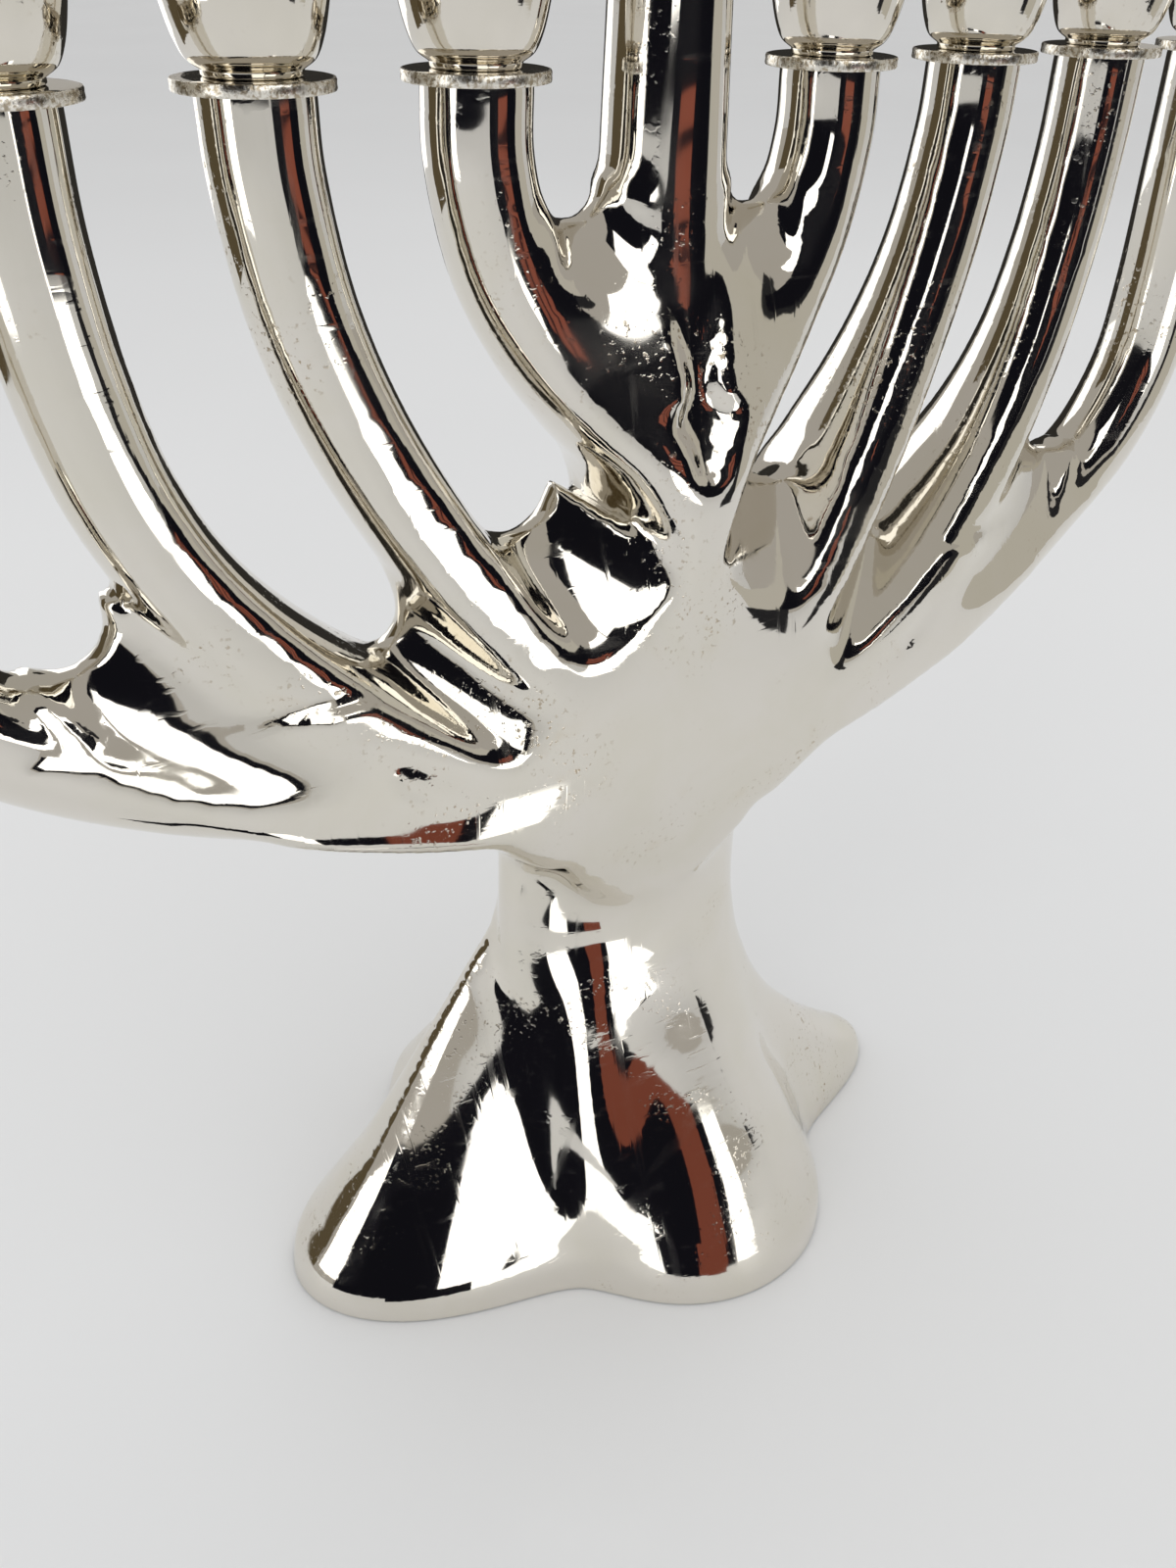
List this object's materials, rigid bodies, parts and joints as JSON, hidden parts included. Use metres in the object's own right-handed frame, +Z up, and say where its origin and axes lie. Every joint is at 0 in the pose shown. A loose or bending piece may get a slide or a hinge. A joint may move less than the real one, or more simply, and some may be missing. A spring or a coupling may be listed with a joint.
{
  "type": "menorah",
  "caption": "Nickel-plated cast tree menorah: branching arms on a rooted trunk, each tip with a round drip pan and an egg-shaped candle cup held by a screw",
  "frame": {"origin": "centre of the foot, on the table under the middle light", "axes": "X along the row of lights to the right, Y to the back, Z up"},
  "size_m": [0.3042, 0.12, 0.329],
  "materials": {
    "cast_nickel": "cast aluminium, polished and nickel plated, lightly tarnished",
    "turned_nickel": "spun and turned brass, nickel plated",
    "screw_steel": "nickel-plated machine screw",
    "felt": "black wool felt"
  },
  "bodies": {
    "tree": {"tree_casting": "cast_nickel", "base_felt": "felt"},
    "pan_1": {"drip_pan_1": "turned_nickel"},
    "cup_1": {"candle_cup_1": "turned_nickel"},
    "screw_1": {"cup_screw_1": "screw_steel"},
    "pan_2": {"drip_pan_2": "turned_nickel"},
    "cup_2": {"candle_cup_2": "turned_nickel"},
    "screw_2": {"cup_screw_2": "screw_steel"},
    "pan_3": {"drip_pan_3": "turned_nickel"},
    "cup_3": {"candle_cup_3": "turned_nickel"},
    "screw_3": {"cup_screw_3": "screw_steel"},
    "pan_4": {"drip_pan_4": "turned_nickel"},
    "cup_4": {"candle_cup_4": "turned_nickel"},
    "screw_4": {"cup_screw_4": "screw_steel"},
    "pan_5": {"drip_pan_5": "turned_nickel"},
    "cup_5": {"candle_cup_5": "turned_nickel"},
    "screw_5": {"cup_screw_5": "screw_steel"},
    "pan_6": {"drip_pan_6": "turned_nickel"},
    "cup_6": {"candle_cup_6": "turned_nickel"},
    "screw_6": {"cup_screw_6": "screw_steel"},
    "pan_7": {"drip_pan_7": "turned_nickel"},
    "cup_7": {"candle_cup_7": "turned_nickel"},
    "screw_7": {"cup_screw_7": "screw_steel"},
    "pan_8": {"drip_pan_8": "turned_nickel"},
    "cup_8": {"candle_cup_8": "turned_nickel"},
    "screw_8": {"cup_screw_8": "screw_steel"},
    "pan_9": {"drip_pan_9": "turned_nickel"},
    "cup_9": {"candle_cup_9": "turned_nickel"},
    "screw_9": {"cup_screw_9": "screw_steel"}
  },
  "joints": [
    {"name": "screw_1_turn", "type": "hinge", "parent": "cup_1", "child": "screw_1", "pos_m": [-0.14, 0, 0.2742], "axis": [0, 0, 1], "range_deg": [0, 5400]},
    {"name": "cup_1_lift", "type": "slide", "parent": "tree", "child": "cup_1", "axis": [0, 0, 1], "range_m": [0, 0.012]},
    {"name": "pan_1_lift", "type": "slide", "parent": "tree", "child": "pan_1", "axis": [0, 0, 1], "range_m": [0, 0.006]},
    {"name": "screw_2_turn", "type": "hinge", "parent": "cup_2", "child": "screw_2", "pos_m": [-0.105, 0, 0.2742], "axis": [0, 0, 1], "range_deg": [0, 5400]},
    {"name": "cup_2_lift", "type": "slide", "parent": "tree", "child": "cup_2", "axis": [0, 0, 1], "range_m": [0, 0.012]},
    {"name": "pan_2_lift", "type": "slide", "parent": "tree", "child": "pan_2", "axis": [0, 0, 1], "range_m": [0, 0.006]},
    {"name": "screw_3_turn", "type": "hinge", "parent": "cup_3", "child": "screw_3", "pos_m": [-0.07, 0, 0.2742], "axis": [0, 0, 1], "range_deg": [0, 5400]},
    {"name": "cup_3_lift", "type": "slide", "parent": "tree", "child": "cup_3", "axis": [0, 0, 1], "range_m": [0, 0.012]},
    {"name": "pan_3_lift", "type": "slide", "parent": "tree", "child": "pan_3", "axis": [0, 0, 1], "range_m": [0, 0.006]},
    {"name": "screw_4_turn", "type": "hinge", "parent": "cup_4", "child": "screw_4", "pos_m": [-0.035, 0, 0.2742], "axis": [0, 0, 1], "range_deg": [0, 5400]},
    {"name": "cup_4_lift", "type": "slide", "parent": "tree", "child": "cup_4", "axis": [0, 0, 1], "range_m": [0, 0.012]},
    {"name": "pan_4_lift", "type": "slide", "parent": "tree", "child": "pan_4", "axis": [0, 0, 1], "range_m": [0, 0.006]},
    {"name": "screw_5_turn", "type": "hinge", "parent": "cup_5", "child": "screw_5", "pos_m": [0, 0, 0.3042], "axis": [0, 0, 1], "range_deg": [0, 5400]},
    {"name": "cup_5_lift", "type": "slide", "parent": "tree", "child": "cup_5", "axis": [0, 0, 1], "range_m": [0, 0.012]},
    {"name": "pan_5_lift", "type": "slide", "parent": "tree", "child": "pan_5", "axis": [0, 0, 1], "range_m": [0, 0.006]},
    {"name": "screw_6_turn", "type": "hinge", "parent": "cup_6", "child": "screw_6", "pos_m": [0.035, 0, 0.2742], "axis": [0, 0, 1], "range_deg": [0, 5400]},
    {"name": "cup_6_lift", "type": "slide", "parent": "tree", "child": "cup_6", "axis": [0, 0, 1], "range_m": [0, 0.012]},
    {"name": "pan_6_lift", "type": "slide", "parent": "tree", "child": "pan_6", "axis": [0, 0, 1], "range_m": [0, 0.006]},
    {"name": "screw_7_turn", "type": "hinge", "parent": "cup_7", "child": "screw_7", "pos_m": [0.07, 0, 0.2742], "axis": [0, 0, 1], "range_deg": [0, 5400]},
    {"name": "cup_7_lift", "type": "slide", "parent": "tree", "child": "cup_7", "axis": [0, 0, 1], "range_m": [0, 0.012]},
    {"name": "pan_7_lift", "type": "slide", "parent": "tree", "child": "pan_7", "axis": [0, 0, 1], "range_m": [0, 0.006]},
    {"name": "screw_8_turn", "type": "hinge", "parent": "cup_8", "child": "screw_8", "pos_m": [0.105, 0, 0.2742], "axis": [0, 0, 1], "range_deg": [0, 5400]},
    {"name": "cup_8_lift", "type": "slide", "parent": "tree", "child": "cup_8", "axis": [0, 0, 1], "range_m": [0, 0.012]},
    {"name": "pan_8_lift", "type": "slide", "parent": "tree", "child": "pan_8", "axis": [0, 0, 1], "range_m": [0, 0.006]},
    {"name": "screw_9_turn", "type": "hinge", "parent": "cup_9", "child": "screw_9", "pos_m": [0.14, 0, 0.2742], "axis": [0, 0, 1], "range_deg": [0, 5400]},
    {"name": "cup_9_lift", "type": "slide", "parent": "tree", "child": "cup_9", "axis": [0, 0, 1], "range_m": [0, 0.012]},
    {"name": "pan_9_lift", "type": "slide", "parent": "tree", "child": "pan_9", "axis": [0, 0, 1], "range_m": [0, 0.006]}
  ],
  "couplings": [
    {"joint": "screw_1_turn", "follows": "cup_1_lift", "rad_per_m": 7853.9},
    {"joint": "pan_1_lift", "follows": "cup_1_lift", "ratio": 0.5},
    {"joint": "screw_2_turn", "follows": "cup_2_lift", "rad_per_m": 7853.9},
    {"joint": "pan_2_lift", "follows": "cup_2_lift", "ratio": 0.5},
    {"joint": "screw_3_turn", "follows": "cup_3_lift", "rad_per_m": 7853.9},
    {"joint": "pan_3_lift", "follows": "cup_3_lift", "ratio": 0.5},
    {"joint": "screw_4_turn", "follows": "cup_4_lift", "rad_per_m": 7853.9},
    {"joint": "pan_4_lift", "follows": "cup_4_lift", "ratio": 0.5},
    {"joint": "screw_5_turn", "follows": "cup_5_lift", "rad_per_m": 7853.9},
    {"joint": "pan_5_lift", "follows": "cup_5_lift", "ratio": 0.5},
    {"joint": "screw_6_turn", "follows": "cup_6_lift", "rad_per_m": 7853.9},
    {"joint": "pan_6_lift", "follows": "cup_6_lift", "ratio": 0.5},
    {"joint": "screw_7_turn", "follows": "cup_7_lift", "rad_per_m": 7853.9},
    {"joint": "pan_7_lift", "follows": "cup_7_lift", "ratio": 0.5},
    {"joint": "screw_8_turn", "follows": "cup_8_lift", "rad_per_m": 7853.9},
    {"joint": "pan_8_lift", "follows": "cup_8_lift", "ratio": 0.5},
    {"joint": "screw_9_turn", "follows": "cup_9_lift", "rad_per_m": 7853.9},
    {"joint": "pan_9_lift", "follows": "cup_9_lift", "ratio": 0.5}
  ]
}
